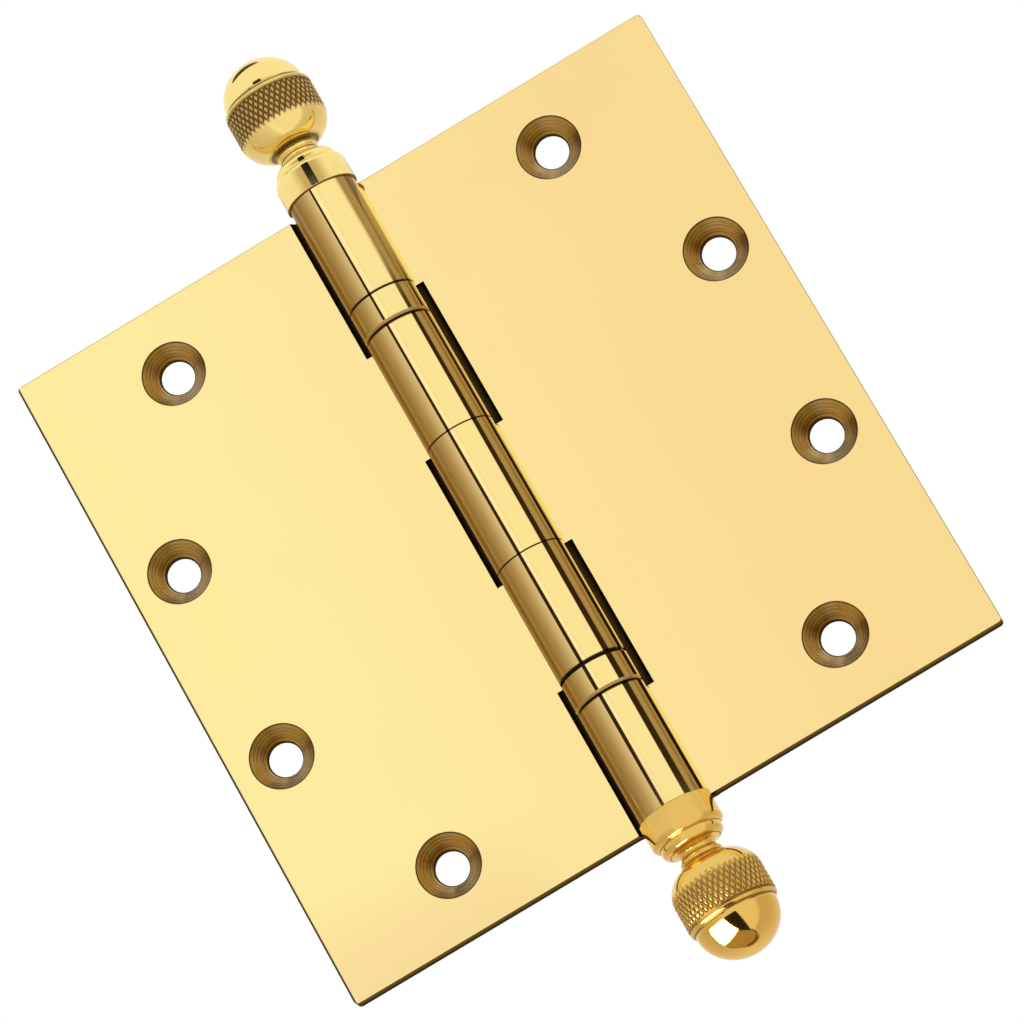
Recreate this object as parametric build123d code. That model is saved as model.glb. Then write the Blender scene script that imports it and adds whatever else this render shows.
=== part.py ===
from build123d import *
import os
from math import radians, sqrt, tan

# Ball bearing butt hinge, opened flat, in millimetres.
# +Z runs up the pin, the origin is on the pin axis at mid-height, +X points to the jamb leaf.
# The countersunk faces look to -Y and the flat backs to +Y.

# Pin and barrel
PIN_RADIUS = 2.95
PIN_CLEARANCE = 0.05
BARREL_RADIUS = 6.35
END_KNUCKLE = 22.225
INNER_KNUCKLE = 22.225
MIDDLE_KNUCKLE = 25.4
SEAM_GAP = 0.12
STUD_RADIUS = 2.2
STUD_LENGTH = 9.0
STUD_CHAMFER = 0.4
STUD_CLEARANCE = 0.05
STUD_END_ROOM = 0.5

# Leaves: width is from the pin axis to the outer edge
LEAF_WIDTH = 63.5
LEAF_THICKNESS = 3.4
LEAF_CORNER = 0.8
LEAF_EASE = 0.25
NOTCH_GAP = 1.3
NOTCH_END_GAP = 0.35
NOTCH_TIP = 0.4

# Screw holes: spacings along the pin and distances from the leaf's outer edge
END_HOLE_SPACING = 101.6
END_HOLE_EDGE = 25.4
MIDDLE_HOLE_SPACING = 38.1
MIDDLE_HOLE_EDGE = 9.525
HOLE_RADIUS = 3.0
SINK_RADIUS = 5.8
SINK_ANGLE = 82.0

# Ball thrust bearings
BEARING_HEIGHT = 6.35
UPPER_RIM_GAP = 0.2
LOWER_RIM_GAP = 0.6
CUP_WALL = 0.7
CUP_FLOOR = 0.7
CUP_ROUND = 0.9
CUP_INNER_ROUND = 0.3
BEARING_CLEARANCE = 0.1
CUP_RACE_CLEARANCE = 0.05
COVER_RACE_CLEARANCE = 0.15
BALL_RADIUS = 0.794
BALL_COUNT = 8
BALL_PLAY = 0.02
GROOVE_RADIUS = 0.86
GROOVE_DEPTH = 0.25
CAGE_THICKNESS = 0.6
CAGE_CLEARANCE = 0.25
POCKET_CLEARANCE = 0.05

# Finials, from the knuckle end outwards
COLLAR_RADIUS = 6.75
COLLAR_HEIGHT = 5.4
COLLAR_ROUND = 0.9
RING_RADIUS = 5.7
RING_HEIGHT = 1.9
RING_ROUND = 1.0
NECK_RADIUS = 3.3
NECK_TAPER = 0.6
NECK_HEIGHT = 0.9
BEAD_RADIUS = 3.9
BEAD_HEIGHT = 1.3
BAND_RADIUS = 8.3
BOWL_HEIGHT = 5.3
BAND_HEIGHT = 5.1
RIM_HEIGHT = 0.7
RIM_STEP = 0.4
DOME_RADIUS = 7.65
DOME_HEIGHT = 7.1

# Places that follow from the sizes above
BORE_RADIUS = PIN_RADIUS + PIN_CLEARANCE
MIDDLE_END = MIDDLE_KNUCKLE / 2
INNER_END = MIDDLE_END + INNER_KNUCKLE
BEARING_END = INNER_END + BEARING_HEIGHT
BARREL_END = BEARING_END + END_KNUCKLE
LEAF_HEIGHT = 2 * BARREL_END
LEAF_BACK = BARREL_RADIUS
LEAF_FRONT = LEAF_BACK - LEAF_THICKNESS
NOTCH_EDGE = BARREL_RADIUS + NOTCH_GAP
COVE_RADIUS = sqrt(NOTCH_EDGE**2 + LEAF_FRONT**2)
SINK_DEPTH = (SINK_RADIUS - HOLE_RADIUS) / tan(radians(SINK_ANGLE / 2))
BEARING_BORE = PIN_RADIUS + BEARING_CLEARANCE
CUP_INSIDE = BARREL_RADIUS - CUP_WALL
CUP_RACE_RADIUS = CUP_INSIDE - CUP_RACE_CLEARANCE
COVER_RACE_RADIUS = CUP_INSIDE - COVER_RACE_CLEARANCE
BALL_CIRCLE = (BEARING_BORE + COVER_RACE_RADIUS) / 2
BALL_STAND = BALL_RADIUS - GROOVE_DEPTH + BALL_PLAY
RACE_THICKNESS = (BEARING_HEIGHT - CUP_FLOOR) / 2 - BALL_STAND
BALL_LEVEL = CUP_FLOOR + RACE_THICKNESS + BALL_STAND
GROOVE_OFFSET = GROOVE_RADIUS - BALL_RADIUS - BALL_PLAY


def round_about(centre, start, end):
    """The shorter arc from start to end about a centre."""
    towards = (start - centre) + (end - centre)
    middle = centre + towards.normalized() * (start - centre).length
    return ThreePointArc(start, middle, end)


def turned(lines):
    """A solid of revolution about the pin axis from a closed profile in radius and height."""
    profile = make_face(Curve() + lines)
    return revolve(Plane.XZ * profile, Axis.Z, 360)


def tube(inner, outer, low, high):
    """A plain ring between two heights on the pin axis."""
    section = Circle(outer) - Circle(inner)
    return extrude(Pos(0, 0, low) * section, high - low)


def knuckle_web():
    """Section of a knuckle and its web: a round barrel whose back runs out flat into the leaf."""
    crease = Vector(sqrt(BARREL_RADIUS**2 - LEAF_FRONT**2), LEAF_FRONT)
    back = Vector(0, LEAF_BACK)
    far_back = Vector(NOTCH_EDGE, LEAF_BACK)
    far_front = Vector(NOTCH_EDGE, LEAF_FRONT)
    around = ThreePointArc(back, Vector(-BARREL_RADIUS, 0), Vector(0, -BARREL_RADIUS))
    front = round_about(Vector(0, 0), Vector(0, -BARREL_RADIUS), crease)
    edges = [around, front, Line(crease, far_front), Line(far_front, far_back), Line(far_back, back)]
    return make_face(Curve() + edges)


def notch_lip():
    """Section of the plate's inner edge: hollowed round the mating knuckle, with a blunt tip behind it."""
    edge = Vector(NOTCH_EDGE, LEAF_FRONT)
    tip_height = LEAF_BACK - NOTCH_TIP
    tip = Vector(sqrt(COVE_RADIUS**2 - tip_height**2), tip_height)
    tip_back = Vector(tip.X, LEAF_BACK)
    far_back = Vector(NOTCH_EDGE, LEAF_BACK)
    edges = [round_about(Vector(0, 0), edge, tip), Line(tip, tip_back)]
    edges += [Line(tip_back, far_back), Line(far_back, edge)]
    return make_face(Curve() + edges)


def screw_hole(edge_distance, height):
    """Clearance hole with a countersink that opens at the leaf's front."""
    across = Pos(LEAF_WIDTH - edge_distance, LEAF_FRONT, height) * Rot(-90, 0, 0)
    on_base = (Align.CENTER, Align.CENTER, Align.MIN)
    drill = Cylinder(HOLE_RADIUS, LEAF_THICKNESS, align=on_base)
    sink = Cone(SINK_RADIUS, HOLE_RADIUS, SINK_DEPTH, align=on_base)
    return across * (drill + sink)


def leaf(knuckles):
    """A leaf to the right of the pin, carrying the knuckles given as low and high ends."""
    plate_width = LEAF_WIDTH - NOTCH_EDGE
    plate_centre = Pos((LEAF_WIDTH + NOTCH_EDGE) / 2, (LEAF_FRONT + LEAF_BACK) / 2, 0)
    body = plate_centre * Box(plate_width, LEAF_THICKNESS, LEAF_HEIGHT)
    outer_corners = body.edges().filter_by(Axis.Y).group_by(Axis.X)[-1]
    body = fillet(outer_corners, LEAF_CORNER)
    face_edges = body.edges().group_by(Axis.Y)
    rims = [edge for edge in face_edges[0] + face_edges[-1] if edge.center().X > NOTCH_EDGE + LEAF_EASE]
    body = fillet(rims, LEAF_EASE)
    body += extrude(Pos(0, 0, -BARREL_END) * notch_lip(), LEAF_HEIGHT)
    for low, high in knuckles:
        web_low = low if low <= -BARREL_END else low + NOTCH_END_GAP
        web_high = high if high >= BARREL_END else high - NOTCH_END_GAP
        body += extrude(Pos(0, 0, web_low) * knuckle_web(), web_high - web_low)
        if web_low > low:
            body += extrude(Pos(0, 0, low) * Circle(BARREL_RADIUS), NOTCH_END_GAP)
        if web_high < high:
            body += extrude(Pos(0, 0, web_high) * Circle(BARREL_RADIUS), NOTCH_END_GAP)
    body -= Cylinder(BORE_RADIUS, LEAF_HEIGHT)
    for side in (-1, 1):
        body -= screw_hole(END_HOLE_EDGE, side * END_HOLE_SPACING / 2)
        body -= screw_hole(MIDDLE_HOLE_EDGE, side * MIDDLE_HOLE_SPACING / 2)
    return body


def finial():
    """Turned acorn on a collar, standing on the barrel's upper end."""
    base = BARREL_END
    bore = STUD_RADIUS + STUD_CLEARANCE
    bore_end = base + STUD_LENGTH + STUD_END_ROOM
    collar_top = base + COLLAR_HEIGHT
    ring_top = collar_top + RING_HEIGHT
    neck_low = ring_top + NECK_TAPER
    bead_low = neck_low + NECK_HEIGHT
    bowl_low = bead_low + BEAD_HEIGHT
    band_low = bowl_low + BOWL_HEIGHT
    band_top = band_low + BAND_HEIGHT
    dome_low = band_top + RIM_HEIGHT
    dome_top = dome_low + DOME_HEIGHT
    bowl_depth = BAND_RADIUS - NECK_RADIUS
    bowl_round = (bowl_depth**2 + BOWL_HEIGHT**2) / (2 * bowl_depth)
    dome_round = (DOME_RADIUS**2 + DOME_HEIGHT**2) / (2 * DOME_HEIGHT)

    collar = [Vector(bore, base), Vector(COLLAR_RADIUS, base)]
    collar += [Vector(COLLAR_RADIUS, collar_top - COLLAR_ROUND)]
    collar_rim = Vector(COLLAR_RADIUS - COLLAR_ROUND, collar_top)
    ring = [collar_rim, Vector(RING_RADIUS, collar_top), Vector(RING_RADIUS, ring_top - RING_ROUND)]
    ring_rim = Vector(RING_RADIUS - RING_ROUND, ring_top)
    neck = [ring_rim, Vector(NECK_RADIUS, neck_low), Vector(NECK_RADIUS, bead_low)]
    bead = Vector(BEAD_RADIUS, (bead_low + bowl_low) / 2)
    bowl = Vector(NECK_RADIUS, bowl_low)
    band = [Vector(BAND_RADIUS, band_low), Vector(BAND_RADIUS, band_top)]
    rim = [band[1], Vector(BAND_RADIUS - RIM_STEP, dome_low), Vector(DOME_RADIUS, dome_low)]
    crown = Vector(0, dome_top)
    inside = [crown, Vector(0, bore_end), Vector(bore, bore_end), Vector(bore, base)]

    edges = [Line(a, b) for a, b in zip(collar, collar[1:])]
    edges += [round_about(Vector(COLLAR_RADIUS - COLLAR_ROUND, collar[-1].Y), collar[-1], collar_rim)]
    edges += [Line(a, b) for a, b in zip(ring, ring[1:])]
    edges += [round_about(Vector(RING_RADIUS - RING_ROUND, ring[-1].Y), ring[-1], ring_rim)]
    edges += [Line(a, b) for a, b in zip(neck, neck[1:])]
    edges += [ThreePointArc(neck[-1], bead, bowl)]
    edges += [round_about(Vector(BAND_RADIUS - bowl_round, band_low), bowl, band[0])]
    edges += [Line(band[0], band[1])]
    edges += [Line(a, b) for a, b in zip(rim, rim[1:])]
    edges += [round_about(Vector(0, dome_top - dome_round), rim[-1], crown)]
    edges += [Line(a, b) for a, b in zip(inside, inside[1:])]
    return turned(edges)


def pin():
    """Plain pin as long as the barrel, with a chamfered stud on each end."""
    shank = Cylinder(PIN_RADIUS, LEAF_HEIGHT)
    stud = Cylinder(STUD_RADIUS, STUD_LENGTH)
    stud = chamfer(stud.edges().group_by(Axis.Z)[-1], STUD_CHAMFER)
    upper = Pos(0, 0, BARREL_END + STUD_LENGTH / 2) * stud
    return shank + upper + mirror(upper, about=Plane.XY)


def bearing_cup(rim_gap):
    """Drawn cup standing on the plane z = 0, with its closed end below and rounded outside."""
    rim = BEARING_HEIGHT - rim_gap
    outer_foot = Vector(BARREL_RADIUS - CUP_ROUND, 0)
    outer_wall = Vector(BARREL_RADIUS, CUP_ROUND)
    outer_centre = Vector(BARREL_RADIUS - CUP_ROUND, CUP_ROUND)
    inner_wall = Vector(CUP_INSIDE, CUP_FLOOR + CUP_INNER_ROUND)
    inner_foot = Vector(CUP_INSIDE - CUP_INNER_ROUND, CUP_FLOOR)
    inner_centre = Vector(CUP_INSIDE - CUP_INNER_ROUND, CUP_FLOOR + CUP_INNER_ROUND)
    edges = [
        Line(Vector(BEARING_BORE, 0), outer_foot),
        round_about(outer_centre, outer_foot, outer_wall),
        Polyline(outer_wall, Vector(BARREL_RADIUS, rim), Vector(CUP_INSIDE, rim), inner_wall),
        round_about(inner_centre, inner_wall, inner_foot),
        Polyline(inner_foot, Vector(BEARING_BORE, CUP_FLOOR), Vector(BEARING_BORE, 0)),
    ]
    return turned(edges)


def race_groove(level):
    """Ring groove in which the balls run."""
    return Pos(0, 0, level) * Torus(BALL_CIRCLE, GROOVE_RADIUS)


def cup_race():
    """Race lying on the cup's floor, grooved on top, its foot eased to clear the cup's inner round."""
    body = tube(BEARING_BORE, CUP_RACE_RADIUS, CUP_FLOOR, CUP_FLOOR + RACE_THICKNESS)
    foot = body.edges().filter_by(GeomType.CIRCLE).group_by(Axis.Z)[0].sort_by(SortBy.RADIUS)[-1]
    body = chamfer(foot, CUP_INNER_ROUND)
    return body - race_groove(BALL_LEVEL + GROOVE_OFFSET)


def cover_race():
    """Race under the upper knuckle, grooved below."""
    body = tube(BEARING_BORE, COVER_RACE_RADIUS, BEARING_HEIGHT - RACE_THICKNESS, BEARING_HEIGHT)
    return body - race_groove(BALL_LEVEL - GROOVE_OFFSET)


def ball_cage():
    """Flat ring with a round pocket for each ball."""
    low = BALL_LEVEL - CAGE_THICKNESS / 2
    body = tube(PIN_RADIUS + CAGE_CLEARANCE, CUP_INSIDE - CAGE_CLEARANCE, low, low + CAGE_THICKNESS)
    pocket = Cylinder(BALL_RADIUS + POCKET_CLEARANCE, CAGE_THICKNESS)
    pockets = PolarLocations(BALL_CIRCLE, BALL_COUNT)
    return body - [Pos(0, 0, BALL_LEVEL) * place * pocket for place in pockets]


def bearing(name, floor, rim_gap):
    """All pieces of one bearing, its cup standing at the height of the knuckle below."""
    place = Pos(0, 0, floor)
    pieces = {
        f"{name}_bearing_cup": place * bearing_cup(rim_gap),
        f"{name}_cup_race": place * cup_race(),
        f"{name}_cover_race": place * cover_race(),
        f"{name}_ball_cage": place * ball_cage(),
    }
    for number, spot in enumerate(PolarLocations(BALL_CIRCLE, BALL_COUNT), 1):
        ball = Pos(0, 0, BALL_LEVEL) * spot * Sphere(BALL_RADIUS)
        pieces[f"{name}_ball_{number}"] = place * ball
    return pieces


# Knuckles 1, 3 and 5 belong to the jamb leaf, 2 and 4 to the door leaf
jamb_knuckles = [(BEARING_END, BARREL_END), (-MIDDLE_END, MIDDLE_END), (-BARREL_END, -BEARING_END)]
door_knuckles = [(MIDDLE_END + SEAM_GAP, INNER_END), (-INNER_END, -MIDDLE_END - SEAM_GAP)]

hinge = {
    "jamb_leaf": leaf(jamb_knuckles),
    "door_leaf": mirror(leaf(door_knuckles), about=Plane.YZ),
    "hinge_pin": pin(),
    "upper_finial": finial(),
    "lower_finial": mirror(finial(), about=Plane.XY),
}
hinge.update(bearing("upper", INNER_END, UPPER_RIM_GAP))
hinge.update(bearing("lower", -BEARING_END, LOWER_RIM_GAP))

os.makedirs("parts", exist_ok=True)
for node, shape in hinge.items():
    export_step(shape, f"parts/{node}.step")
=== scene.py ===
import bpy
import numpy as np
from mathutils import Matrix, Vector


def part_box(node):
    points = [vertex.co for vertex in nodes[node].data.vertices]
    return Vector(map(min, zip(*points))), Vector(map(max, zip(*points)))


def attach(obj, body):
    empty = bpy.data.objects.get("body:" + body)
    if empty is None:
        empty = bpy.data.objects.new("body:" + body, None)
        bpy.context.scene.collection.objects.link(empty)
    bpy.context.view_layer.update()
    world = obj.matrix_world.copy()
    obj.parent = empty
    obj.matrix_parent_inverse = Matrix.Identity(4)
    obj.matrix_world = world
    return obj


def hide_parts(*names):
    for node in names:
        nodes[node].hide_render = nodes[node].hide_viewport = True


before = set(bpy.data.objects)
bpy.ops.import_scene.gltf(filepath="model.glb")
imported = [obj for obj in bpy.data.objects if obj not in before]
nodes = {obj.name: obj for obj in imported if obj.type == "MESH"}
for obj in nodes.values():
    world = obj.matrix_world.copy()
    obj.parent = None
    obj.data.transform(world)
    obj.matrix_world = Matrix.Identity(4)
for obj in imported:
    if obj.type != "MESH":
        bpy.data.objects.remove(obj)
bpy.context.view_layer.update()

# Leaves: two extruded brass sections, notched for each other's knuckles, drilled and countersunk,
# then buffed to a mirror and lacquered. The buff doesn't reach the countersinks, which keep the
# cutter's rings. The notches' hollowed edges and the lower ends are painted dark as shade.
BARREL_RADIUS = -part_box("jamb_leaf")[0].y
LEAF_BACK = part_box("jamb_leaf")[1].y
LEAF_FRONT = LEAF_BACK - 0.0034
LEAF_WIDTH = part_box("jamb_leaf")[1].x
LEAF_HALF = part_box("jamb_leaf")[1].z
LEAF_CORNER = 0.0008
SKIN_DEPTH = 0.00004
# A finish is a clean and a hazed colour, and the least and the most roughness.
MIRROR_BRASS = ((0.995, 0.850, 0.362, 1.0), (0.985, 0.835, 0.350, 1.0), 0.015, 0.045)
LEAF_HAZE = 0.02
HAIRLINE_STRETCH = (60.0, 60.0, 1.5)
HAIRLINE_SHARE = 0.35
MARKS_SEEN = (0.4, 0.9)
# Barrel: each joint between knuckles, by its height from the middle and half its width, and the
# strips of painted shade next to the leaves, from, to and feather in degrees round the pin.
SEAMS = ((0.0127, 0.00010), (0.034925, 0.00016), (0.041275, 0.00016))
SEAM_BRASS = (0.100, 0.055, 0.015, 1.0)
CORNER_ANGLES = (57.0, 73.0, 7.0)
CORNER_SHADE = (0.430, 0.305, 0.130, 1.0)
# Countersinks: each painted highlight wedge, which stands in for the light that the cutter's rings
# reflect, has a direction in degrees, a reach to each side and a strength.
END_HOLE = (0.0381, 0.0508)
MIDDLE_HOLE = (0.053975, 0.01905)
SINK_RADIUS = 0.0058
HOLE_RADIUS = 0.0030
RIM_LINE = 0.00022
LIP_LINE = 0.00038
RING_PITCH = 0.00045
RING_DEPTH = 0.00005
RING_TONES = (0.30, 0.60)
SINK_HIGHLIGHTS = ((40, 55, 1.0), (183, 55, 1.0), (-95, 45, 0.45))
CUT_BRASS = (0.670, 0.490, 0.200, 1.0)
RING_BRASS = (0.425, 0.295, 0.105, 1.0)
CUT_SHADE = (0.310, 0.180, 0.030, 1.0)
RING_SHADE = (0.200, 0.105, 0.016, 1.0)
SINK_EDGE_DARK = (0.075, 0.048, 0.016, 1.0)
SINK_DULL = 0.22
# Notches: the hollowed edges are painted near black as shade, with lighter streaks. A fade is how
# far behind the front it starts, and how far before the back it ends.
COVE_RADIUS = 0.0083
STREAK_WIDTH = 0.0007
STREAK_TONES = (0.30, 0.65, 0.35, 1.0)
NOTCH_FADE = (0.0006, 0.0006)
NOTCH_SHADE = (0.008, 0.004, 0.002, 1.0)
NOTCH_STREAK = (0.110, 0.064, 0.022, 1.0)
NOTCH_DULL = 0.7
# Edges: the lower ends are painted with shade up to LOW_END, and the door leaf has a painted
# shade line at its outer edge.
EDGE_DEPTH = 0.00006
EDGE_EASE = 0.00022
LOW_END = (0.00032, 0.00064)
DOOR_RIM = 0.00050
EDGE_FADE = (0.0006, 0.0010)
EDGE_BRASS = (0.720, 0.520, 0.190, 1.0)
EDGE_SHADE_FRONT = (0.150, 0.090, 0.022, 1.0)
EDGE_SHADE = (0.045, 0.027, 0.008, 1.0)
EDGE_DULL = 0.15


def link(tree, *pairs):
    """Joins sockets in pairs, each an output followed by the input that it feeds."""
    for out_socket, in_socket in pairs:
        tree.links.new(out_socket, in_socket)


def worked_out(tree, operation, *values):
    """The output of a Math node whose inputs are sockets or plain numbers."""
    node = tree.nodes.new("ShaderNodeMath")
    node.operation = operation
    for entry, value in zip(node.inputs, values):
        if isinstance(value, bpy.types.NodeSocket):
            tree.links.new(value, entry)
        else:
            entry.default_value = value
    return node.outputs[0]


def all_of(tree, *masks):
    """The product of several masks: one only where each of them is one."""
    product = masks[0]
    for mask in masks[1:]:
        product = worked_out(tree, "MULTIPLY", product, mask)
    return product


def hypotenuse(tree, first, second):
    """The square root of the sum of two squares."""
    return worked_out(tree, "SQRT", worked_out(
        tree, "ADD", worked_out(tree, "POWER", first, 2.0), worked_out(tree, "POWER", second, 2.0)))


def ramped(tree, value, low, high, start=0.0, end=1.0):
    """A Map Range node's output: start below low, end above high, and a smooth step between."""
    node = tree.nodes.new("ShaderNodeMapRange")
    node.interpolation_type = "SMOOTHSTEP"
    tree.links.new(value, node.inputs["Value"])
    settings = (("From Min", low), ("From Max", high), ("To Min", start), ("To Max", end))
    for name, number in settings:
        node.inputs[name].default_value = number
    return node.outputs["Result"]


def between(tree, value, low, high, feather):
    """One where a value lies from low to high, and nought beyond a smooth step outside each end."""
    return all_of(tree, ramped(tree, value, low - feather, low),
                  ramped(tree, value, high, high + feather, 1.0, 0.0))


def blended(tree, factor, first, second):
    """The output of a colour Mix node between two colours or colour sockets."""
    node = tree.nodes.new("ShaderNodeMix")
    node.data_type = "RGBA"
    tree.links.new(factor, node.inputs["Factor"])
    for entry, colour in ((node.inputs["A"], first), (node.inputs["B"], second)):
        if isinstance(colour, bpy.types.NodeSocket):
            tree.links.new(colour, entry)
        else:
            entry.default_value = colour
    return node.outputs["Result"]


def own_axes(tree):
    """A point's place on the object: across the leaves, towards the back and up the pin."""
    place = tree.nodes.new("ShaderNodeTexCoord")
    axes = tree.nodes.new("ShaderNodeSeparateXYZ")
    link(tree, (place.outputs["Object"], axes.inputs[0]))
    return axes.outputs["X"], axes.outputs["Y"], axes.outputs["Z"]


def line_noise(tree, value, width):
    """Noise that changes along one value only, about once in each width of it."""
    noise = tree.nodes.new("ShaderNodeTexNoise")
    noise.noise_dimensions = "1D"
    noise.inputs["Scale"].default_value = 1.0 / width
    noise.inputs["Detail"].default_value = 2.0
    link(tree, (value, noise.inputs["W"]))
    return noise.outputs["Fac"]


def effect(name, inputs, outputs):
    """An empty shader node group with named number sockets, and its two end nodes."""
    tree = bpy.data.node_groups.new(name, "ShaderNodeTree")
    for label, default in inputs:
        socket = tree.interface.new_socket(label, in_out="INPUT", socket_type="NodeSocketFloat")
        socket.default_value = default
    for label in outputs:
        tree.interface.new_socket(label, in_out="OUTPUT", socket_type="NodeSocketFloat")
    return tree, tree.nodes.new("NodeGroupInput"), tree.nodes.new("NodeGroupOutput")


def buffing_marks():
    """Haze is cloudy noise of the given size. Hairlines are thin streaks that run along the pin."""
    tree, ins, outs = effect("buffing_marks", [("Size", 0.01)], ["Haze", "Hairlines"])
    place = tree.nodes.new("ShaderNodeTexCoord")
    scaled = tree.nodes.new("ShaderNodeVectorMath")
    scaled.operation = "SCALE"
    per_metre = worked_out(tree, "DIVIDE", 1.0, ins.outputs["Size"])
    link(tree, (place.outputs["Object"], scaled.inputs[0]), (per_metre, scaled.inputs["Scale"]))
    drawn = tree.nodes.new("ShaderNodeMapping")
    drawn.inputs["Scale"].default_value = HAIRLINE_STRETCH
    link(tree, (scaled.outputs[0], drawn.inputs["Vector"]))
    for label, source, detail in (("Haze", scaled, 4.0), ("Hairlines", drawn, 2.0)):
        noise = tree.nodes.new("ShaderNodeTexNoise")
        noise.inputs["Scale"].default_value = 1.0
        noise.inputs["Detail"].default_value = detail
        link(tree, (source.outputs[0], noise.inputs["Vector"]))
        link(tree, (noise.outputs["Fac"], outs.inputs[label]))
    return tree


def polished(name, finish, size, marks):
    """A mirror metal that goes from its finish's first colour and roughness to its second with the
    buffing marks, which have the given size. Returns the material, its tree, its shader, and the
    colour and roughness sockets to build on."""
    clean, hazed, smoothest, roughest = finish
    material = bpy.data.materials.new(name)
    material.use_nodes = True
    tree = material.node_tree
    shader = tree.nodes["Principled BSDF"]
    shader.inputs["Metallic"].default_value = 1.0
    group = tree.nodes.new("ShaderNodeGroup")
    group.node_tree = marks
    group.inputs["Size"].default_value = size
    haze, hairlines = group.outputs["Haze"], group.outputs["Hairlines"]
    colour = blended(tree, haze, clean, hazed)
    both = worked_out(tree, "MULTIPLY_ADD", hairlines, HAIRLINE_SHARE, haze)
    roughness = ramped(tree, both, *MARKS_SEEN, smoothest, roughest)
    link(tree, (colour, shader.inputs["Base Color"]), (roughness, shader.inputs["Roughness"]))
    return material, tree, shader, colour, roughness


def barrel_seams_and_shade():
    """The barrel's dark seam lines and painted shade. Seams is a thin line at each joint between
    knuckles, by height. Corners is a strip of painted shade along each side next to the leaves, by
    the angle round the pin from the front."""
    tree, _, outs = effect("barrel_seams_and_shade", [], ["Seams", "Corners"])
    side, depth, level = own_axes(tree)
    on_barrel = ramped(tree, hypotenuse(tree, side, depth), BARREL_RADIUS + SKIN_DEPTH,
                       BARREL_RADIUS + 2 * SKIN_DEPTH, 1.0, 0.0)
    from_middle = worked_out(tree, "ABSOLUTE", level)
    seam = 0.0
    for height, half in SEAMS:
        line = between(tree, from_middle, height - half, height + half, half)
        seam = worked_out(tree, "MAXIMUM", seam, line)
    angle = worked_out(tree, "DEGREES", worked_out(
        tree, "ARCTAN2", worked_out(tree, "ABSOLUTE", side),
        worked_out(tree, "MULTIPLY", depth, -1.0)))
    corner = between(tree, angle, *CORNER_ANGLES)
    link(tree, (all_of(tree, seam, on_barrel), outs.inputs["Seams"]))
    link(tree, (all_of(tree, corner, on_barrel), outs.inputs["Corners"]))
    return tree


def with_seams_and_shade(tree, colour, seams_and_shade):
    """A colour with the barrel's painted-shade corner strips and seam lines laid over it."""
    group = tree.nodes.new("ShaderNodeGroup")
    group.node_tree = seams_and_shade
    # The corner strips are painted shade.
    colour = blended(tree, group.outputs["Corners"], colour, CORNER_SHADE)
    return blended(tree, group.outputs["Seams"], colour, SEAM_BRASS)


def nearest_hole(tree, side, level):
    """A point's offsets across and along from the axis of the nearest hole, and its distance from
    there. The holes lie alike on both sides of the pin and of the middle, so two stand for all."""
    out_from_pin = worked_out(tree, "ABSOLUTE", side)
    from_middle = worked_out(tree, "ABSOLUTE", level)
    measures = []
    for hole_x, hole_z in (END_HOLE, MIDDLE_HOLE):
        across = worked_out(tree, "SUBTRACT", out_from_pin, hole_x)
        along = worked_out(tree, "SUBTRACT", from_middle, hole_z)
        measures.append((across, along, hypotenuse(tree, across, along)))
    (*from_end, end_distance), (*from_middle_hole, middle_distance) = measures
    at_end = worked_out(tree, "LESS_THAN", end_distance, middle_distance)
    offsets = []
    for axis, end_offset, middle_offset in zip((side, level), from_end, from_middle_hole):
        apart = worked_out(tree, "SUBTRACT", end_offset, middle_offset)
        offset = worked_out(tree, "MULTIPLY_ADD", at_end, apart, middle_offset)
        offsets.append(worked_out(tree, "MULTIPLY", worked_out(tree, "SIGN", axis), offset))
    return *offsets, worked_out(tree, "MINIMUM", end_distance, middle_distance)


def cut_brass(tree, across, along, distance, rings):
    """A countersink's colour. The rings' noise gives its light and dark turns, the distance from
    the hole's axis a dark line at the rim and at the hole's lip, and the direction from there the
    painted highlight wedges, which stand in for the light the cutter's rings reflect: the cosine of
    its angle from each wedge's middle."""
    # Painted highlight wedges, lighter than the rest of the countersink.
    highlights = 0.0
    for degrees, reach, strength in SINK_HIGHLIGHTS:
        turn = np.radians(degrees)
        upward = worked_out(tree, "MULTIPLY", along, np.sin(turn))
        towards = worked_out(tree, "MULTIPLY_ADD", across, np.cos(turn), upward)
        facing = worked_out(tree, "DIVIDE", towards, distance)
        wedge = ramped(tree, facing, np.cos(np.radians(reach)), 1.0, 0.0, strength)
        highlights = worked_out(tree, "ADD", highlights, wedge)
    ring = ramped(tree, rings, *RING_TONES)
    cut = blended(tree, highlights, blended(tree, ring, RING_SHADE, CUT_SHADE),
                  blended(tree, ring, RING_BRASS, CUT_BRASS))
    rim = ramped(tree, distance, SINK_RADIUS - RIM_LINE, SINK_RADIUS - RIM_LINE / 2)
    lip = ramped(tree, distance, HOLE_RADIUS + LIP_LINE / 2, HOLE_RADIUS + LIP_LINE, 1.0, 0.0)
    return blended(tree, worked_out(tree, "MAXIMUM", rim, lip), cut, SINK_EDGE_DARK)


def faded(tree, depth, fade):
    """A smooth step through the leaf's thickness, from behind its front to before its back."""
    return ramped(tree, depth, LEAF_FRONT + fade[0], LEAF_BACK - fade[1])


def past(tree, value, limit):
    """How far a value is past a limit, and nought before it."""
    return worked_out(tree, "MAXIMUM", worked_out(tree, "SUBTRACT", value, limit), 0.0)


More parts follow.
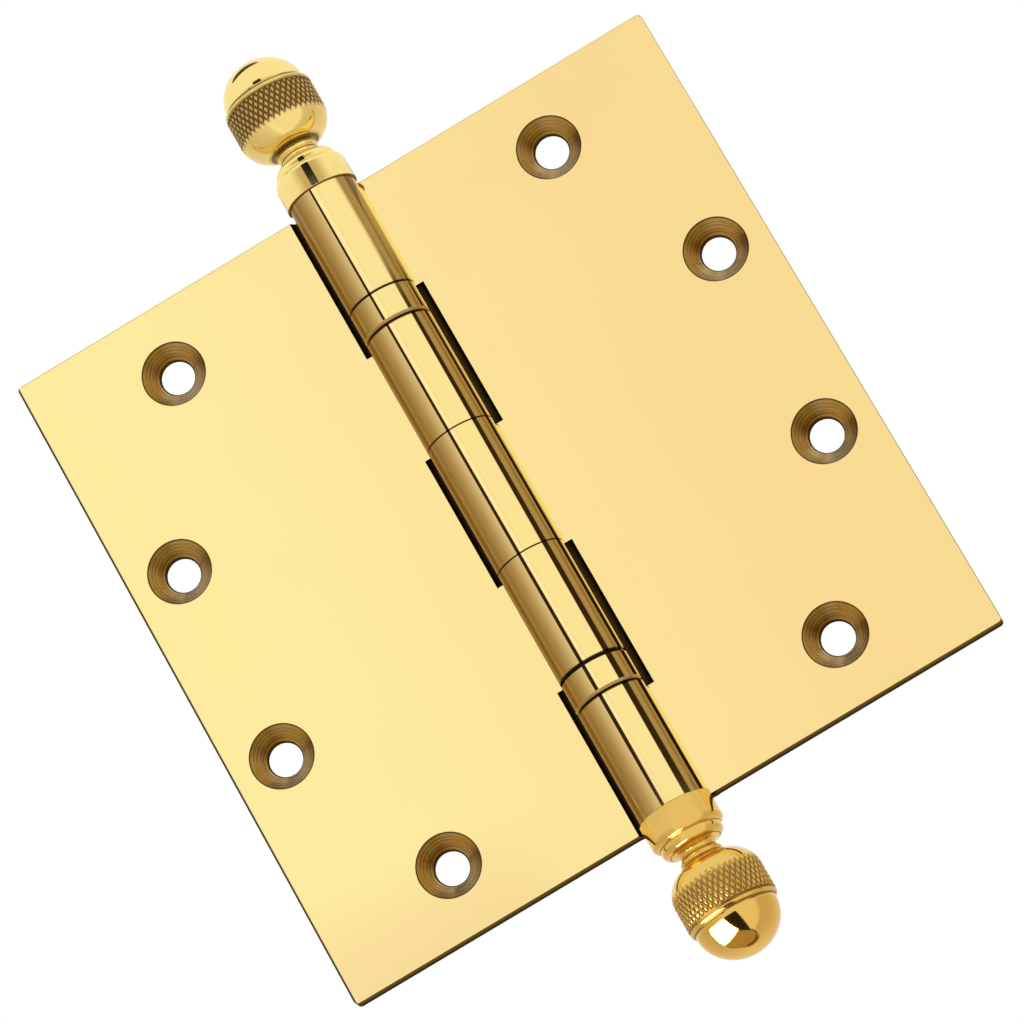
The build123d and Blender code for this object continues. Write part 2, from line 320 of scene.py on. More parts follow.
def leaf_brass(marks, seams_and_shade):
    """Polished brass with cut countersinks, dull edges, and painted shade in the notches, at the
    lower ends, along the door leaf's outer edge and on the barrel next to the leaves. A point's
    distance from the nearest hole's axis gives the countersink, its distance from the pin the
    notch, and its distance out in the rounded outline of the plate the edges."""
    material, tree, shader, colour, roughness = polished(
        "polished_brass", MIRROR_BRASS, LEAF_HAZE, marks)
    shader.inputs["Specular IOR Level"].default_value = 0.0
    side, depth, level = own_axes(tree)
    out_from_pin = worked_out(tree, "ABSOLUTE", side)
    from_middle = worked_out(tree, "ABSOLUTE", level)
    before_back = ramped(
        tree, depth, LEAF_BACK - SKIN_DEPTH, LEAF_BACK - SKIN_DEPTH / 2, 1.0, 0.0)
    behind_front = ramped(tree, depth, LEAF_FRONT + SKIN_DEPTH, LEAF_FRONT + 2 * SKIN_DEPTH)

    across, along, distance = nearest_hole(tree, side, level)
    rings = line_noise(tree, distance, RING_PITCH)
    in_hole = ramped(
        tree, distance, SINK_RADIUS - SKIN_DEPTH, SINK_RADIUS + SKIN_DEPTH, 1.0, 0.0)
    sunk = all_of(tree, in_hole, before_back)

    from_pin = hypotenuse(tree, side, depth)
    off_barrel = ramped(
        tree, from_pin, BARREL_RADIUS + SKIN_DEPTH, BARREL_RADIUS + 2 * SKIN_DEPTH)
    in_cove = ramped(tree, from_pin, COVE_RADIUS, COVE_RADIUS + SKIN_DEPTH, 1.0, 0.0)
    hollow = all_of(tree, behind_front, before_back, off_barrel, in_cove)
    streaks = ramped(tree, line_noise(tree, depth, STREAK_WIDTH), *STREAK_TONES)
    streaked = all_of(tree, faded(tree, depth, NOTCH_FADE), streaks)

    outline = hypotenuse(tree, past(tree, out_from_pin, LEAF_WIDTH - LEAF_CORNER),
                         past(tree, from_middle, LEAF_HALF - LEAF_CORNER))
    edge = ramped(tree, outline, LEAF_CORNER - EDGE_DEPTH, LEAF_CORNER - EDGE_DEPTH / 2)
    low = ramped(tree, level, LOW_END[0] - LEAF_HALF, LOW_END[1] - LEAF_HALF, 1.0, 0.0)
    off_pin = ramped(tree, out_from_pin, BARREL_RADIUS, BARREL_RADIUS + SKIN_DEPTH)
    under = all_of(tree, edge, low, off_pin)
    # Painted shade: a dark line along the door leaf's outer edge, next to its front.
    door_rim = all_of(
        tree, ramped(tree, side, DOOR_RIM / 2 - LEAF_WIDTH, DOOR_RIM - LEAF_WIDTH, 1.0, 0.0),
        ramped(tree, depth, LEAF_FRONT + EDGE_EASE, LEAF_FRONT + 2 * EDGE_EASE, 1.0, 0.0))

    colour = with_seams_and_shade(tree, colour, seams_and_shade)
    colour = blended(tree, edge, colour, EDGE_BRASS)
    # The lower ends: painted shade, lighter near the front and darker towards the back.
    colour = blended(tree, under, colour, blended(
        tree, faded(tree, depth, EDGE_FADE), EDGE_SHADE_FRONT, EDGE_SHADE))
    colour = blended(tree, door_rim, colour, EDGE_SHADE)
    colour = blended(tree, sunk, colour, cut_brass(tree, across, along, distance, rings))
    # The notches' hollowed edges: painted shade, near black, with lighter streaks towards the back.
    colour = blended(tree, hollow, colour, blended(tree, streaked, NOTCH_SHADE, NOTCH_STREAK))
    for mask, dull in ((edge, EDGE_DULL), (sunk, SINK_DULL), (hollow, NOTCH_DULL)):
        roughness = worked_out(tree, "MULTIPLY_ADD", mask, dull, roughness)
    # Where shade is painted, the brass is not metallic.
    painted_dark = worked_out(tree, "MAXIMUM", hollow, worked_out(tree, "MAXIMUM", under, door_rim))
    bump = tree.nodes.new("ShaderNodeBump")
    bump.inputs["Distance"].default_value = RING_DEPTH
    link(tree, (colour, shader.inputs["Base Color"]), (roughness, shader.inputs["Roughness"]))
    link(tree, (worked_out(tree, "SUBTRACT", 1.0, painted_dark), shader.inputs["Metallic"]))
    link(tree, (all_of(tree, rings, sunk), bump.inputs["Height"]))
    link(tree, (bump.outputs["Normal"], shader.inputs["Normal"]))
    return material


def wear(material, slot_name, *names):
    """Gives CAD nodes a material. The slot name is not used."""
    for name in names:
        nodes[name].data.materials.clear()
        nodes[name].data.materials.append(material)


marks = buffing_marks()
seams_and_shade = barrel_seams_and_shade()
wear(leaf_brass(marks, seams_and_shade), "polished_brass", "jamb_leaf", "door_leaf")

# Pin: a ground steel rod through all five knuckles, with a stud at each end for the finials.
# It is hidden once the hinge is put together.
PIN_STEEL = ((0.55, 0.55, 0.56, 1.0), (0.46, 0.45, 0.45, 1.0), 0.18, 0.34)
PIN_HAZE = 0.004
wear(polished("pin_steel", PIN_STEEL, PIN_HAZE, marks)[0], "pin_steel", "hinge_pin")

# Bearings: brass cups drawn from sheet and buffed with the barrel, ground steel races, lapped
# steel balls, and cages stamped from thin brass strip.
CUPS = [f"{end}_bearing_cup" for end in ("upper", "lower")]
RACES = [f"{end}_{kind}_race" for end in ("upper", "lower") for kind in ("cup", "cover")]
BALLS = [f"{end}_ball_{number}" for end in ("upper", "lower") for number in range(1, 9)]
CUP_HAZE = 0.01
CUP_FOOT = 0.00048
CUP_ROUND = 0.00095
CUP_FEATHER = 0.00015
# Painted shade on each cup's rounded corner.
CUP_ROUND_SHADE = (0.420, 0.300, 0.125, 1.0)
RACE_STEEL = ((0.52, 0.52, 0.54, 1.0), (0.40, 0.40, 0.41, 1.0), 0.15, 0.35)
RACE_HAZE = 0.002
RACE_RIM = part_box("upper_cover_race")[1].x
# Painted shade on the races' rims, where they show in the gaps beside the cups.
RIM_SHADE_LINE = (0.0003, 0.0001)
RACE_RIM_SHADE = (0.060, 0.036, 0.014, 1.0)
BALL_STEEL = ((0.75, 0.75, 0.77, 1.0), (0.66, 0.66, 0.68, 1.0), 0.04, 0.10)
BALL_HAZE = 0.001
CAGE_BRASS = ((0.80, 0.62, 0.25, 1.0), (0.62, 0.44, 0.16, 1.0), 0.25, 0.45)
CAGE_HAZE = 0.002


def cup_brass(marks, seams_and_shade):
    """The barrel's polished brass. By height above the cup's foot, the rounded corner is painted
    with shade, and the foot keeps the seam's dark line."""
    material, tree, shader, colour, _ = polished("cup_brass", MIRROR_BRASS, CUP_HAZE, marks)
    _, _, level = own_axes(tree)
    above_foot = worked_out(tree, "MINIMUM", *[
        worked_out(tree, "ABSOLUTE", worked_out(tree, "SUBTRACT", level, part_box(cup)[0].z))
        for cup in CUPS])
    colour = with_seams_and_shade(tree, colour, seams_and_shade)
    for height, shade in ((CUP_ROUND, CUP_ROUND_SHADE), (CUP_FOOT, SEAM_BRASS)):
        below = ramped(tree, above_foot, height - CUP_FEATHER, height, 1.0, 0.0)
        colour = blended(tree, below, colour, shade)
    link(tree, (colour, shader.inputs["Base Color"]))
    return material


def race_steel(marks):
    """Ground steel with painted shade on the rim, by the distance from the pin."""
    material, tree, shader, colour, _ = polished("race_steel", RACE_STEEL, RACE_HAZE, marks)
    side, depth, _ = own_axes(tree)
    shaded_rim = ramped(tree, hypotenuse(tree, side, depth), RACE_RIM - RIM_SHADE_LINE[0],
                     RACE_RIM - RIM_SHADE_LINE[1])
    link(tree, (blended(tree, shaded_rim, colour, RACE_RIM_SHADE), shader.inputs["Base Color"]))
    return material


wear(cup_brass(marks, seams_and_shade), "polished_brass", *CUPS)
wear(race_steel(marks), "race_steel", *RACES)
wear(polished("ball_steel", BALL_STEEL, BALL_HAZE, marks)[0], "ball_steel", *BALLS)
wear(polished("cage_brass", CAGE_BRASS, CAGE_HAZE, marks)[0],
     "cage_brass", "upper_ball_cage", "lower_ball_cage")

# Finials: acorns turned from brass rod and knurled with a pair of wheels, then bright dipped
# and lacquered. Each is screwed on a stud of the pin and bears on the end of the barrel.
MM = 0.001
FINIAL_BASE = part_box("jamb_leaf")[1].z
FINIAL_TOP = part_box("upper_finial")[1].z
BAND_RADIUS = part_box("upper_finial")[1].x
BOWL_CENTRE = (2.99, 15.40)
BOWL_RADII = (5.31, 5.31)
KNURL_COUNT = 46
KNURL_DIAMOND = 0.00190
KNURL_DEPTH = 0.00032
KNURL_FLAT = 0.18
KNURL_TOP = 0.01995
KNURL_CREST_SHADE = 0.32
KNURL_STEPS = 10
COLUMNS = KNURL_COUNT * KNURL_STEPS
FINIAL_HAZE = 0.006
GROOVE_DULL = 0.3
# The two finials are one brass. These are painted lit copies of it, the upper paler and the lower
# warmer and darker, and their grooves' painted shade differs likewise.
UPPER_BRASS_AS_LIT = ((0.985, 0.800, 0.300, 1.0), (0.955, 0.776, 0.291, 1.0), 0.05, 0.11)
LOWER_BRASS_AS_LIT = ((0.850, 0.570, 0.150, 1.0), (0.825, 0.553, 0.145, 1.0), 0.05, 0.11)
# The painted shade in the grooves: its colour, and the depth of groove at which that is reached.
UPPER_GROOVE_SHADE = ((0.190, 0.100, 0.025, 1.0), 0.7)
LOWER_GROOVE_SHADE = ((0.300, 0.170, 0.040, 1.0), 1.0)


def line_run(start, end, count):
    """Points on a straight run between two (radius, height) pairs, without the last."""
    share = np.linspace(0.0, 1.0, count, endpoint=False)[:, None]
    return np.array(start) * (1 - share) + np.array(end) * share


def arc_run(centre, radii, first, last, count):
    """Points on an ellipse's arc about a centre, without the last: the radii times the cosine and
    sine of angles in degrees."""
    angle = np.radians(np.linspace(first, last, count, endpoint=False))
    return np.array(centre) + np.array(radii) * np.stack([np.cos(angle), np.sin(angle)], -1)


def finial_foot():
    """The acorn's outline below the knurl, as runs of (radius, height) pairs in millimetres from
    the end of the barrel, each with how much painted shade it gets: up the bore, out along the
    base, then collar, ring, neck, bead and bowl. The base, the tool's corners between them and the
    bowl next to the neck get painted shade."""
    return [
        (line_run((0.0, 9.5), (2.25, 9.5), 3), 0.0),
        (line_run((2.25, 9.5), (2.25, 0.0), 4), 0.0),
        (line_run((2.25, 0.0), (6.66, 0.0), 4), 1.0),
        (line_run((6.66, 0.0), (6.75, 0.09), 3), 1.0),
        (line_run((6.75, 0.12), (6.746, 0.30), 4), 0.0),
        (line_run((6.746, 0.30), (6.66, 4.45), 6), 0.0),
        (arc_run((5.76, 4.45), (0.9, 0.95), 0, 88, 9), 0.0),
        (line_run((5.79, 5.40), (5.72, 5.46), 3), 0.9),
        (line_run((5.72, 5.52), (5.70, 6.25), 3), 0.0),
        (arc_run((4.70, 6.25), (1.0, 1.05), 0, 86, 9), 0.0),
        (line_run((4.77, 7.30), (4.66, 7.36), 3), 0.9),
        (arc_run((4.60, 8.38), (1.3, 1.0), 266, 180, 9), 0.0),
        (line_run((3.30, 8.38), (3.38, 8.70), 3), 0.0),
        (line_run((3.40, 8.74), (3.46, 8.80), 3), 0.9),
        (arc_run((3.30, 9.42), (0.60, 0.62), -76, 76, 11), 0.0),
        (line_run((3.44, 10.02), (3.40, 10.10), 3), 0.9),
        (line_run((3.41, 10.14), (3.86, 10.20), 2), 0.4),
        # The bowl next to the neck: painted shade.
        (arc_run(BOWL_CENTRE, BOWL_RADII, -78, -70, 3), 0.6),
        (arc_run(BOWL_CENTRE, BOWL_RADII, -70, -64, 2), 0.25),
        (arc_run(BOWL_CENTRE, BOWL_RADII, -64, -22, 14), 0.0),
    ]


def finial_band(start):
    """The run that carries the knurl, up from a starting height in metres: the rest of the bowl's
    arc, then straight up, in as many rows to each diamond as it has steps round the band."""
    rows = int(round((KNURL_TOP - start) / (KNURL_DIAMOND / KNURL_STEPS)))
    heights = np.linspace(start, KNURL_TOP, rows, endpoint=False)[1:]
    below = np.clip(BOWL_CENTRE[1] * MM - heights, 0.0, None)
    bowl = BOWL_CENTRE[0] * MM + np.sqrt((BOWL_RADII[0] * MM) ** 2 - below**2)
    return [(np.stack([bowl, heights], -1) / MM, 0.0)]


def finial_crown():
    """The outline above the knurl, as runs like the foot's: the groove, the rounded rim, the line
    above it, and the dome as a quarter of an ellipse."""
    top = (FINIAL_TOP - FINIAL_BASE) / MM
    return [
        (line_run((8.28, 19.96), (7.98, 20.04), 3), 0.9),
        (line_run((7.98, 20.06), (7.98, 20.16), 2), 0.9),
        (arc_run((7.80, 20.58), (0.42, 0.42), -70, 88, 10), 0.2),
        (line_run((7.82, 21.00), (7.62, 21.08), 3), 0.9),
        (line_run((7.60, 21.14), (7.60, 21.24), 2), 0.9),
        (arc_run((0.0, 21.28), (7.62, top - 21.28), 1, 90, 40), 0.0),
        (np.array([[0.0, top]]), 0.0),
    ]


def knurled(radius, height, angle):
    """The radius with the knurl cut into it: two sets of V grooves that wind round the axis in
    opposite ways, the deeper of the two at each point; the wheel stops at the top of the band. The
    second result is painted shade: in the grooves, and a little on the crests between them, where
    the bowl comes within half a groove's depth of the band."""
    turns = KNURL_COUNT * angle / (2 * np.pi)
    rise = height / KNURL_DIAMOND
    left = np.abs(2 * ((turns + rise) % 1.0) - 1)
    right = np.abs(2 * ((turns - rise) % 1.0) - 1)
    groove = np.clip((np.maximum(left, right) - KNURL_FLAT) / (1 - KNURL_FLAT), 0.0, 1.0)
    cut = np.where(height < KNURL_TOP, BAND_RADIUS - KNURL_DEPTH * groove, 1.0)
    crest = np.clip((radius - BAND_RADIUS + KNURL_DEPTH / 2) / (KNURL_DEPTH / 3), 0.0, 1.0)
    tone = np.where(radius > cut, (radius - cut) / KNURL_DEPTH, 0.0)
    # Painted shade on the crests.
    dull = KNURL_CREST_SHADE * crest * (height < KNURL_TOP)
    return np.minimum(radius, cut), np.maximum(tone, dull)


def finial_mesh(name, upright):
    """A profile carried round the pin axis: x and y are the radius times cosine and sine, z the
    height from the barrel's end. The knurl lowers the radius. Pole rows close to a point."""
    foot = finial_foot()
    runs = foot + finial_band(foot[-1][0][-1, 1] * MM) + finial_crown()
    outline = np.concatenate([run for run, _ in runs]) * MM
    shade = np.concatenate([np.full(len(run), dark) for run, dark in runs])[1:-1, None]
    radius, height = outline[1:-1, 0][:, None], outline[1:-1, 1][:, None]
    angle = np.linspace(0.0, 2 * np.pi, COLUMNS, endpoint=False)[None, :]
    radius, groove = knurled(radius, height, angle)
    groove = np.maximum(groove, shade)
    level = FINIAL_BASE + height + 0 * angle
    grid = np.stack([radius * np.cos(angle), radius * np.sin(angle), level], -1)
    poles = np.array([[0, 0, FINIAL_BASE + outline[0, 1]], [0, 0, FINIAL_TOP]])
    points = np.concatenate([grid.reshape(-1, 3), poles])
    row_count = grid.shape[0]
    index = np.arange(row_count * COLUMNS).reshape(row_count, COLUMNS)
    after = np.roll(index, -1, 1)
    quads = np.stack([index[:-1], after[:-1], after[1:], index[1:]], -1).reshape(-1, 4)
    first_fan = np.stack([after[0], index[0], np.full(COLUMNS, row_count * COLUMNS)], -1)
    last_fan = np.stack([index[-1], after[-1], np.full(COLUMNS, row_count * COLUMNS + 1)], -1)
    if not upright:
        points = points * np.array([1, 1, -1])
        quads, first_fan, last_fan = quads[:, ::-1], first_fan[:, ::-1], last_fan[:, ::-1]
    faces = quads.tolist() + first_fan.tolist() + last_fan.tolist()
    mesh = bpy.data.meshes.new(name)
    mesh.from_pydata(points.tolist(), [], faces)
    depth = mesh.attributes.new("groove", "FLOAT", "POINT")
    depth.data.foreach_set("value", np.append(groove.ravel(), [0.0, 0.0]).astype(np.float32))
    mesh.polygons.foreach_set("use_smooth", np.ones(len(mesh.polygons), bool))
    return mesh


def finial_brass(name, finish, groove_shade):
    """Turned brass, a little less bright than the leaves, with painted shade in the knurl and
    corners.
    """
    material, tree, shader, colour, roughness = polished(name, finish, FINIAL_HAZE, marks)
    shade, darkest = groove_shade
    groove = tree.nodes.new("ShaderNodeAttribute")
    groove.attribute_name = "groove"
    deep = ramped(tree, groove.outputs["Fac"], 0.0, darkest)
    roughness = worked_out(tree, "MULTIPLY_ADD", deep, GROOVE_DULL, roughness)
    link(tree, (blended(tree, deep, colour, shade), shader.inputs["Base Color"]))
    link(tree, (roughness, shader.inputs["Roughness"]))
    return material


for end, upright, finish, groove_shade in (
    ("upper", True, UPPER_BRASS_AS_LIT, UPPER_GROOVE_SHADE),
    ("lower", False, LOWER_BRASS_AS_LIT, LOWER_GROOVE_SHADE),
):
    name = f"{end}_knurled_finial"
    acorn = bpy.data.objects.new(name, finial_mesh(name, upright))
    bpy.context.scene.collection.objects.link(acorn)
    acorn.data.materials.append(finial_brass(f"{end}_turned_brass_as_lit", finish, groove_shade))
    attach(acorn, "jamb")
    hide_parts(f"{end}_finial")

# Studio: a pale floor well below the hinge, and the tent that the brass mirrors. A band of walls
# stands round the barrel's level, with cloth above and below it, and flags that draw the dark
# strokes. Angles are degrees: azimuth from the front towards the jamb leaf, and elevation.
FLOOR_LEVEL = -0.62
FLOOR_HALF = 12.0
FLOOR_PAINT = (0.86, 0.85, 0.83, 1.0)
MATT = 0.9
# The walls' colours at their azimuths, and their band's lower and upper ends and feather.
WALLS = [
    (-180, (0.85, 0.76, 0.66)), (-135, (0.60, 0.50, 0.40)), (-92, (0.28, 0.18, 0.09)),
    (-60, (0.43, 0.31, 0.21)), (-26, (0.72, 0.60, 0.55)), (-24, (1.0, 0.97, 0.94)),
    (-6, (1.0, 0.99, 0.98)), (-1, (0.96, 0.82, 0.82)), (5, (0.98, 0.92, 0.84)),
    (62, (0.98, 0.91, 0.84)), (69, (0.80, 0.68, 0.55)), (76, (0.38, 0.27, 0.16)),
    (110, (0.42, 0.31, 0.20)), (135, (0.60, 0.50, 0.40)), (180, (0.85, 0.76, 0.66)),
]
WALL_BAND = (14.75, 21.8, 0.1)
# Flags on the walls. As they rise, the left one's right edge leans left, one degree to one, and the
# right one's left edge leans right, two degrees to one. LEAF_SHIFT brings the right one's image in
# the leaf, which the barrel shows beside its edge, towards the front: there two mirrors sent the
# ray on, so its glossy depth is above TWO_MIRRORS.
LEFT_FLAG_SIDE = (-26.5, -25.0)
LEFT_FLAG_SLANT = (2.0, 3.5)
RIGHT_FLAG_SLANT = (24.0, 27.0)
RIGHT_FLAG_LEAN = -2.0
RIGHT_FLAG_SIDE = (77.0, 83.0)
RIGHT_FLAG_TOP = (20.0, 20.5)
LEAF_SHIFT = 20.0
TWO_MIRRORS = 1.5
FLAG_BLACK = (0.035, 0.018, 0.006, 1.0)
LOW_CORNER = (-14.0, -5.5, 1.0)
LOW_CORNER_TOP = (15.0, 15.8)
LOW_CORNER_PINK = (0.96, 0.86, 0.92, 1.0)
CLOTH_ABOVE = (0.98, 0.95, 0.90, 1.0)
CLOTH_BELOW = (0.95, 0.86, 0.74, 1.0)
CLOTH_MEETS = (9.0, 15.0)
CLOTH_SHARE = 0.55
# Cards on the cloth: azimuths and elevations as from, to and feather, and the colour.
DIM_SHEET = ((-16, 24, 45), (18, 25, 6), (0.60, 0.47, 0.36, 1.0))
DARK_CARD = ((-8, 15.5, 1), (20, 36, 0.5), (0.01, 0.01, 0.01, 1.0))
# A dark rug below, as a round patch about a direction, and a dark spindle overhead, flat on a
# ceiling at unit height: its middle, lean, half its length and half its width.
RUG_CENTRE = (0.0, 0.20, -0.98)
RUG_EDGE = (0.930, 0.975)
RUG_BROWN = (0.22, 0.10, 0.03, 1.0)
SPINDLE_MIDDLE = (-0.18, 0.300)
SPINDLE_LEAN = 0.065
SPINDLE_HALF = (0.40, 0.200)
SPINDLE_EDGE = (0.8, 1.0)
CEILING_FROM = (40.0, 41.0)
SPINDLE_BROWN = (0.10, 0.06, 0.03, 1.0)
floor_mesh = bpy.data.meshes.new("floor")
floor_mesh.from_pydata(
    [(-FLOOR_HALF, -FLOOR_HALF, FLOOR_LEVEL), (FLOOR_HALF, -FLOOR_HALF, FLOOR_LEVEL),
     (FLOOR_HALF, FLOOR_HALF, FLOOR_LEVEL), (-FLOOR_HALF, FLOOR_HALF, FLOOR_LEVEL)],
    [], [(0, 1, 2, 3)])
floor = bpy.data.objects.new("floor", floor_mesh)
floor.visible_glossy = False
bpy.context.scene.collection.objects.link(floor)
floor_paint = bpy.data.materials.new("pale_floor")
floor_paint.use_nodes = True
floor_shader = floor_paint.node_tree.nodes["Principled BSDF"]
floor_shader.inputs["Base Color"].default_value = FLOOR_PAINT
floor_shader.inputs["Roughness"].default_value = MATT
floor_mesh.materials.append(floor_paint)

world = bpy.data.worlds.new("studio")
bpy.context.scene.world = world
world.use_nodes = True
room = world.node_tree
room.nodes.clear()
paths = room.nodes.new("ShaderNodeLightPath")
sight_line = room.nodes.new("ShaderNodeTexCoord")
room_axes = room.nodes.new("ShaderNodeSeparateXYZ")
link(room, (sight_line.outputs["Generated"], room_axes.inputs[0]))
to_side, to_back, to_top = (room_axes.outputs[axis] for axis in "XYZ")
azimuth = worked_out(room, "DEGREES", worked_out(
    room, "ARCTAN2", to_side, worked_out(room, "MULTIPLY", to_back, -1.0)))
elevation = worked_out(room, "DEGREES", worked_out(room, "ARCSINE", to_top))

walls = room.nodes.new("ShaderNodeValToRGB")
while len(walls.color_ramp.elements) < len(WALLS):
    walls.color_ramp.elements.new(0.5)
for element, (degrees, _) in zip(walls.color_ramp.elements, WALLS):
    element.position = degrees / 360 + 0.5
for element, (_, colour) in zip(walls.color_ramp.elements, WALLS):
    element.color = colour + (1.0,)
link(room, (worked_out(room, "MULTIPLY_ADD", azimuth, 1 / 360, 0.5), walls.inputs["Fac"]))
left_slant = worked_out(room, "ADD", azimuth, elevation)
left_flag = all_of(room, ramped(room, azimuth, *LEFT_FLAG_SIDE),
                   ramped(room, left_slant, *LEFT_FLAG_SLANT, 1.0, 0.0))
by_leaf = worked_out(room, "GREATER_THAN", paths.outputs["Glossy Depth"], TWO_MIRRORS)
flag_azimuth = worked_out(room, "MULTIPLY_ADD", by_leaf, LEAF_SHIFT, azimuth)
right_slant = worked_out(room, "MULTIPLY_ADD", elevation, RIGHT_FLAG_LEAN, flag_azimuth)
right_flag = all_of(room, ramped(room, right_slant, *RIGHT_FLAG_SLANT),
                    ramped(room, flag_azimuth, *RIGHT_FLAG_SIDE, 1.0, 0.0),
                    ramped(room, elevation, *RIGHT_FLAG_TOP, 1.0, 0.0))
either_flag = worked_out(room, "MAXIMUM", left_flag, right_flag)
flagged = blended(room, either_flag, walls.outputs["Color"], FLAG_BLACK)
low_corner = all_of(room, between(room, azimuth, *LOW_CORNER),
                    ramped(room, elevation, *LOW_CORNER_TOP, 1.0, 0.0))
flagged = blended(room, low_corner, flagged, LOW_CORNER_PINK)

soft_walls = room.nodes.new("ShaderNodeMix")
soft_walls.data_type = "RGBA"
soft_walls.inputs["Factor"].default_value = CLOTH_SHARE
soft_walls.inputs["B"].default_value = CLOTH_BELOW
link(room, (walls.outputs["Color"], soft_walls.inputs["A"]))
seen = blended(room, ramped(room, elevation, *CLOTH_MEETS), soft_walls.outputs["Result"],
               CLOTH_ABOVE)
for sides, levels, colour in (DIM_SHEET, DARK_CARD):
    inside = all_of(room, between(room, azimuth, *sides), between(room, elevation, *levels))
    seen = blended(room, inside, seen, colour)
to_rug = room.nodes.new("ShaderNodeVectorMath")
to_rug.operation = "DOT_PRODUCT"
to_rug.inputs[1].default_value = RUG_CENTRE
link(room, (sight_line.outputs["Generated"], to_rug.inputs[0]))
seen = blended(room, ramped(room, to_rug.outputs["Value"], *RUG_EDGE), seen, RUG_BROWN)
along = worked_out(
    room, "SUBTRACT", worked_out(room, "DIVIDE", to_side, to_top), SPINDLE_MIDDLE[0])
across = worked_out(
    room, "SUBTRACT", worked_out(room, "DIVIDE", to_back, to_top),
    worked_out(room, "MULTIPLY_ADD", along, SPINDLE_LEAN, SPINDLE_MIDDLE[1]))
spindle = worked_out(
    room, "ADD",
    worked_out(room, "POWER", worked_out(room, "DIVIDE", along, SPINDLE_HALF[0]), 2.0),
    worked_out(room, "POWER", worked_out(room, "DIVIDE", across, SPINDLE_HALF[1]), 2.0))
in_spindle = all_of(room, ramped(room, spindle, *SPINDLE_EDGE, 1.0, 0.0),
                    ramped(room, elevation, *CEILING_FROM))
seen = blended(room, in_spindle, seen, SPINDLE_BROWN)
seen = blended(room, between(room, elevation, *WALL_BAND), seen, flagged)

mirrored = room.nodes.new("ShaderNodeBackground")
white = room.nodes.new("ShaderNodeBackground")
white.inputs["Color"].default_value = (1.0, 1.0, 1.0, 1.0)
which = room.nodes.new("ShaderNodeMixShader")
world_out = room.nodes.new("ShaderNodeOutputWorld")
link(room, (seen, mirrored.inputs["Color"]), (paths.outputs["Is Glossy Ray"], which.inputs["Fac"]))
link(room, (white.outputs[0], which.inputs[1]), (mirrored.outputs[0], which.inputs[2]))
link(room, (which.outputs[0], world_out.inputs["Surface"]))

# Window: a small bright pane in a dark frame, and a sill with a dark hem, close to the lower
# finial, whose dome and rim mirror them. The pane lights that finial alone, and the cards show
# only in a mirror within their reach. Places on the pane are to its right and up, in metres.
LOWER_DOME = Vector((0.0, 0.0, -0.0848))
WINDOW_AZIMUTH = -43
WINDOW_RISE = -36
WINDOW_DISTANCE = 0.016
WINDOW_PANE = (-0.0070, 0.0077, -0.0037, 0.0100)
WINDOW_RADIANCE = 7.6
WINDOW_FRAME = [
    (-0.0077, -0.0037), (0.0074, -0.0037), (0.0126, -0.0160), (0.0240, 0.0080),
    (0.0240, 0.0104), (-0.0077, 0.0104),
]
FRAME_BLACK = (0.010, 0.008, 0.005, 1.0)
SILL_LEVEL = -0.1010
SILL = [
    (-0.0156, -0.0026), (-0.0110, -0.0006), (-0.0030, 0.0), (0.0028, -0.0010),
    (0.0054, -0.0040), (0.0052, -0.0082), (-0.0032, -0.0159),
]
SILL_TAN = (0.48, 0.36, 0.19, 1.0)
HEM_SCALE = 1.10
HEM_BROWN = (0.030, 0.018, 0.008, 1.0)
CARD_GAP = 0.0003
CARD_REACH = 0.023


def mirrored_card(name, corners, colour):
    """A matt card with the given corners, which only a mirror within its reach shows."""
    mesh = bpy.data.meshes.new(name)
    mesh.from_pydata(corners, [], [range(len(corners))])
    paint = bpy.data.materials.new(name)
    paint.use_nodes = True
    tree = paint.node_tree
    matt = tree.nodes["Principled BSDF"]
    matt.inputs["Base Color"].default_value = colour
    matt.inputs["Roughness"].default_value = MATT
    sight = tree.nodes.new("ShaderNodeLightPath")
    clear = tree.nodes.new("ShaderNodeBsdfTransparent")
    choice = tree.nodes.new("ShaderNodeMixShader")
    near = worked_out(tree, "LESS_THAN", sight.outputs["Ray Length"], CARD_REACH)
    link(tree, (near, choice.inputs["Fac"]), (clear.outputs[0], choice.inputs[1]))
    link(tree, (matt.outputs[0], choice.inputs[2]))
    link(tree, (choice.outputs[0], tree.nodes["Material Output"].inputs["Surface"]))
    mesh.materials.append(paint)
    card = bpy.data.objects.new(name, mesh)
    card.visible_camera = card.visible_diffuse = card.visible_shadow = False
    bpy.context.scene.collection.objects.link(card)


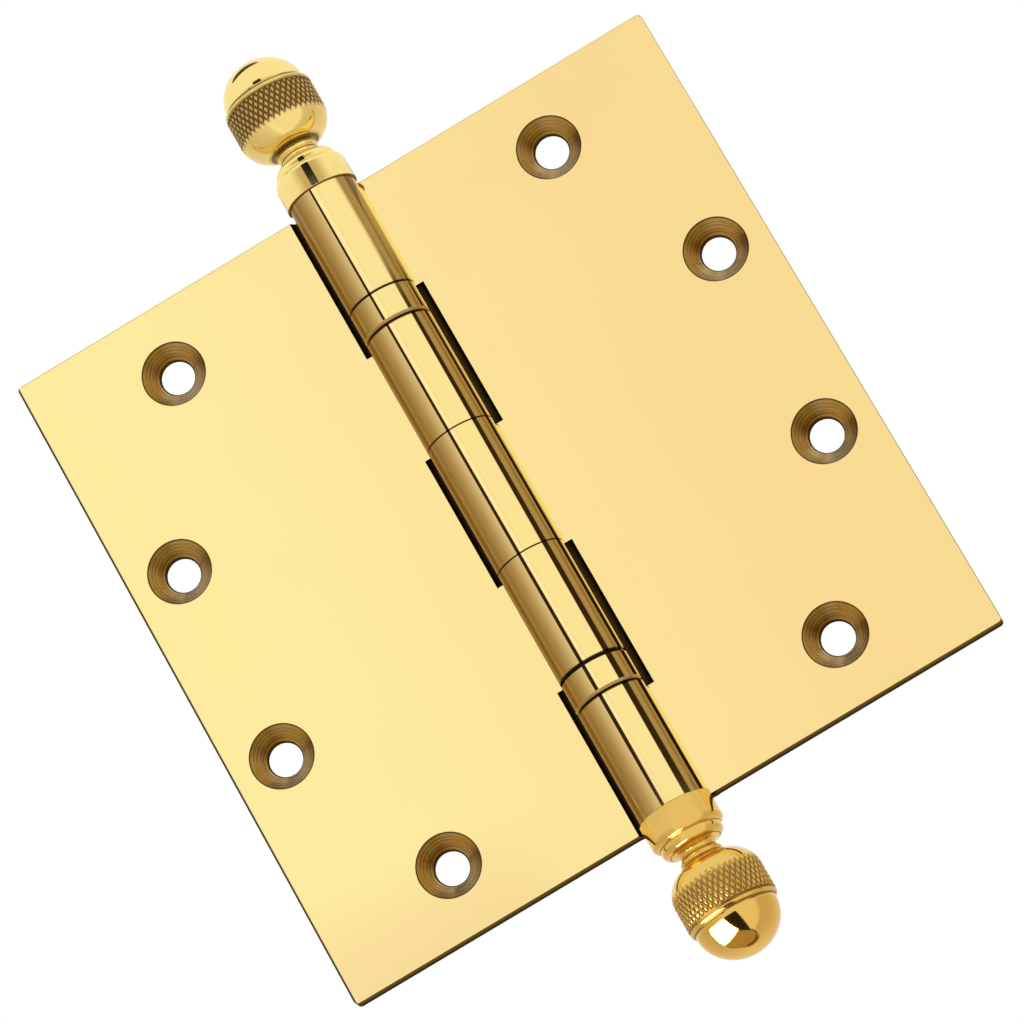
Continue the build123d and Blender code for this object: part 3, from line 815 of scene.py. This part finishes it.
side_turn, up_turn = np.radians(WINDOW_AZIMUTH), np.radians(WINDOW_RISE)
outward = Vector((np.sin(side_turn) * np.cos(up_turn), -np.cos(side_turn) * np.cos(up_turn),
                  np.sin(up_turn)))
rightward = Vector((np.cos(side_turn), np.sin(side_turn), 0.0))
upward = outward.cross(rightward)
window_place = LOWER_DOME + WINDOW_DISTANCE * outward
pane_left, pane_right, pane_low, pane_high = WINDOW_PANE
pane_middle = (window_place + (pane_left + pane_right) / 2 * rightward
               + (pane_low + pane_high) / 2 * upward)
pane_turn = Matrix((rightward, upward, outward)).transposed().to_4x4()
window_data = bpy.data.lights.new("window", "AREA")
window_data.shape = "RECTANGLE"
window_data.size, window_data.size_y = pane_right - pane_left, pane_high - pane_low
window_data.energy = WINDOW_RADIANCE * np.pi * window_data.size * window_data.size_y
window = bpy.data.objects.new("window", window_data)
window.matrix_world = Matrix.Translation(pane_middle) @ pane_turn
window.visible_camera = False
bpy.context.scene.collection.objects.link(window)
lit_by_window = bpy.data.collections.new("lit_by_window")
lit_by_window.objects.link(bpy.data.objects["lower_knurled_finial"])
window.light_linking.receiver_collection = lit_by_window
behind_window = window_place + CARD_GAP * outward
mirrored_card(
    "window_frame",
    [behind_window + right * rightward + rise * upward for right, rise in WINDOW_FRAME],
    FRAME_BLACK)
sill = np.array(SILL)
hem = sill.mean(0) + HEM_SCALE * (sill - sill.mean(0))
mirrored_card("window_sill", [(x, y, SILL_LEVEL) for x, y in sill], SILL_TAN)
mirrored_card("sill_hem", [(x, y, SILL_LEVEL - CARD_GAP) for x, y in hem], HEM_BROWN)

# Camera: the photograph's own view, from the front, below and a little to the jamb side, turned
# so that the pin leans. The turn is a rotation vector from the row frame to the camera's.
CAMERA_PLACE = (0.06728, -1.04932, -0.34301)
CAMERA_LENS = 227.6
CAMERA_CLIP = 50.0
CAMERA_TURN = Vector((1.2413, -0.2896, -0.5041))
sight = Matrix.Rotation(CAMERA_TURN.length, 3, CAMERA_TURN.normalized())
camera_axes = Matrix((sight[0], -sight[1], -sight[2])).transposed()
camera_data = bpy.data.cameras.new("camera")
camera_data.lens = CAMERA_LENS
camera_data.clip_end = CAMERA_CLIP
camera = bpy.data.objects.new("camera", camera_data)
camera.matrix_world = Matrix.Translation(CAMERA_PLACE) @ camera_axes.to_4x4()
bpy.context.scene.collection.objects.link(camera)
bpy.context.scene.camera = camera
bpy.context.scene.view_settings.view_transform = "Standard"
